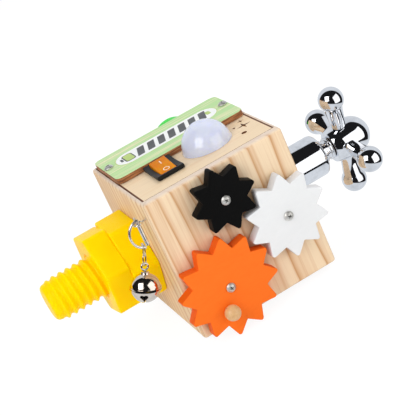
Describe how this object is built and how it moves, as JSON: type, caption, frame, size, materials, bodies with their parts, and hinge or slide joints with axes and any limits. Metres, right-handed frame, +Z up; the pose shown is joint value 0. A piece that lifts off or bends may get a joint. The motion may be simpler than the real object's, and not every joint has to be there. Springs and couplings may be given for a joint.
{
  "type": "busy board",
  "caption": "Wooden busy board block: rocker switch and lamp dome on top, meshing gears in front, cross-handle tap and bolt with nut at its sides, bell on a clasp, screw cap behind.",
  "frame": {"origin": "centre of the block's base", "axes": "+X towards the tap, -Y towards the gears, +Z up"},
  "size_m": [0.1942, 0.1139, 0.0967],
  "materials": {
    "pine": "sanded pine",
    "plywood": "sanded plywood",
    "green_print": "pale green print on plywood, edges laser cut",
    "black_plastic": "fine texture",
    "amber_plastic": "translucent, gloss",
    "frosted_plastic": "translucent, frosted",
    "board_green": "circuit board lacquer",
    "clear_epoxy": "clear",
    "battery_black": "moulded",
    "cell_label": "plain label",
    "black_paint": "black paint, satin",
    "white_paint": "white paint, satin",
    "orange_paint": "orange paint, satin",
    "beech": "lacquered",
    "chrome": "polished plating",
    "screw_steel": "zinc plated",
    "yellow_plastic": "moulded, satin gloss",
    "nickel": "nickel plating",
    "green_plastic": "moulded, gloss",
    "red_lead": "wire insulation",
    "black_lead": "wire insulation"
  },
  "bodies": {
    "block": {"front_wall": "pine", "right_wall": "pine", "back_wall": "pine", "left_wall": "pine", "base_panel": "plywood", "base_screw_front_left": "screw_steel", "base_screw_front_right": "screw_steel", "base_screw_back_left": "screw_steel", "base_screw_back_right": "screw_steel", "top_panel": "plywood", "name_plate": "green_print", "plate_screw_left": "screw_steel", "plate_screw_right": "screw_steel", "switch_housing": "black_plastic", "switch_terminal_front": "nickel", "switch_terminal_back": "nickel", "lamp_dome": "frosted_plastic", "lamp_board": "board_green", "led": "clear_epoxy", "battery_box": "battery_black", "battery_cell_front": "cell_label", "battery_cell_back": "cell_label", "battery_contact_left": "nickel", "battery_contact_right": "nickel", "lead_box_to_switch": "red_lead", "lead_switch_to_lamp": "red_lead", "lead_lamp_to_box": "black_lead", "gear_orange_screw": "screw_steel", "gear_orange_washer": "nickel", "gear_white_screw": "screw_steel", "gear_white_washer": "nickel", "gear_black_screw": "screw_steel", "gear_black_washer": "nickel", "tap_collar": "chrome", "tap_bonnet": "chrome", "bolt": "yellow_plastic", "bolt_screw_upper": "screw_steel", "bolt_screw_lower": "screw_steel", "screw_eye": "nickel", "cap_neck": "green_plastic", "neck_screw": "screw_steel"},
    "orange_gear": {"gear_orange": "orange_paint", "gear_knob": "beech"},
    "white_gear": {"gear_white": "white_paint"},
    "black_gear": {"gear_black": "black_paint"},
    "rocker": {"rocker": "amber_plastic"},
    "tap": {"tap_handle": "chrome", "tap_spindle": "nickel", "tap_nut": "nickel"},
    "nut": {"bolt_nut": "yellow_plastic"},
    "cap": {"green_cap": "green_plastic"},
    "clasp": {"clasp_hook": "nickel"},
    "lever": {"clasp_lever": "nickel"},
    "upper_link": {"chain_link_upper": "nickel"},
    "lower_link": {"chain_link_lower": "nickel"},
    "bell": {"bell_upper": "nickel", "bell_lower": "nickel", "bell_loop": "nickel"},
    "pellet": {"bell_pellet": "nickel"}
  },
  "joints": [
    {"name": "orange_gear_spin", "type": "hinge", "parent": "block", "child": "orange_gear", "pos_m": [-0.0189, -0.048, 0.0222], "axis": [0, -1, 0], "continuous": true},
    {"name": "white_gear_spin", "type": "hinge", "parent": "block", "child": "white_gear", "pos_m": [0.02323, -0.048, 0.03991], "axis": [0, -1, 0], "continuous": true},
    {"name": "black_gear_spin", "type": "hinge", "parent": "block", "child": "black_gear", "pos_m": [-0.00303, -0.048, 0.06439], "axis": [0, -1, 0], "continuous": true},
    {"name": "rocker_tilt", "type": "hinge", "parent": "block", "child": "rocker", "pos_m": [-0.016, -0.013, 0.0795], "axis": [-1, 0, 0], "range_deg": [0, 17]},
    {"name": "tap_turn", "type": "hinge", "parent": "block", "child": "tap", "pos_m": [0.04, -0.004, 0.041], "axis": [1, 0, 0], "continuous": true},
    {"name": "nut_travel", "type": "slide", "parent": "block", "child": "nut", "axis": [-1, 0, 0], "range_m": [0, 0.028]},
    {"name": "cap_lift", "type": "slide", "parent": "block", "child": "cap", "axis": [0, 1, 0], "range_m": [0, 0.014]},
    {"name": "clasp_swing", "type": "hinge", "parent": "block", "child": "clasp", "pos_m": [-0.0466, -0.0336, 0.07048], "axis": [0, 1, 0], "range_deg": [-2, 35]},
    {"name": "lever_open", "type": "hinge", "parent": "clasp", "child": "lever", "pos_m": [-0.0444, -0.0336, 0.07135], "axis": [0, 1, 0], "range_deg": [0, 20], "stiffness_Nm_per_rad": 0.0005, "springref_deg": -11.46},
    {"name": "upper_link_swing", "type": "hinge", "parent": "clasp", "child": "upper_link", "pos_m": [-0.04673, -0.0336, 0.05807], "axis": [0, 1, 0], "range_deg": [-9, 30]},
    {"name": "lower_link_swing", "type": "hinge", "parent": "upper_link", "child": "lower_link", "pos_m": [-0.04847, -0.0336, 0.05392], "axis": [0, 1, 0], "range_deg": [-3, 8]},
    {"name": "bell_swing", "type": "hinge", "parent": "lower_link", "child": "bell", "pos_m": [-0.05029, -0.0336, 0.04958], "axis": [0, 1, 0], "range_deg": [-3, 20]},
    {"name": "pellet_roll", "type": "slide", "parent": "bell", "child": "pellet", "axis": [0.3859, 0, 0.9225], "range_m": [0, 0.006]}
  ],
  "couplings": [
    {"joint": "white_gear_spin", "follows": "orange_gear_spin", "ratio": -1.2},
    {"joint": "black_gear_spin", "follows": "orange_gear_spin", "ratio": 1.5}
  ]
}
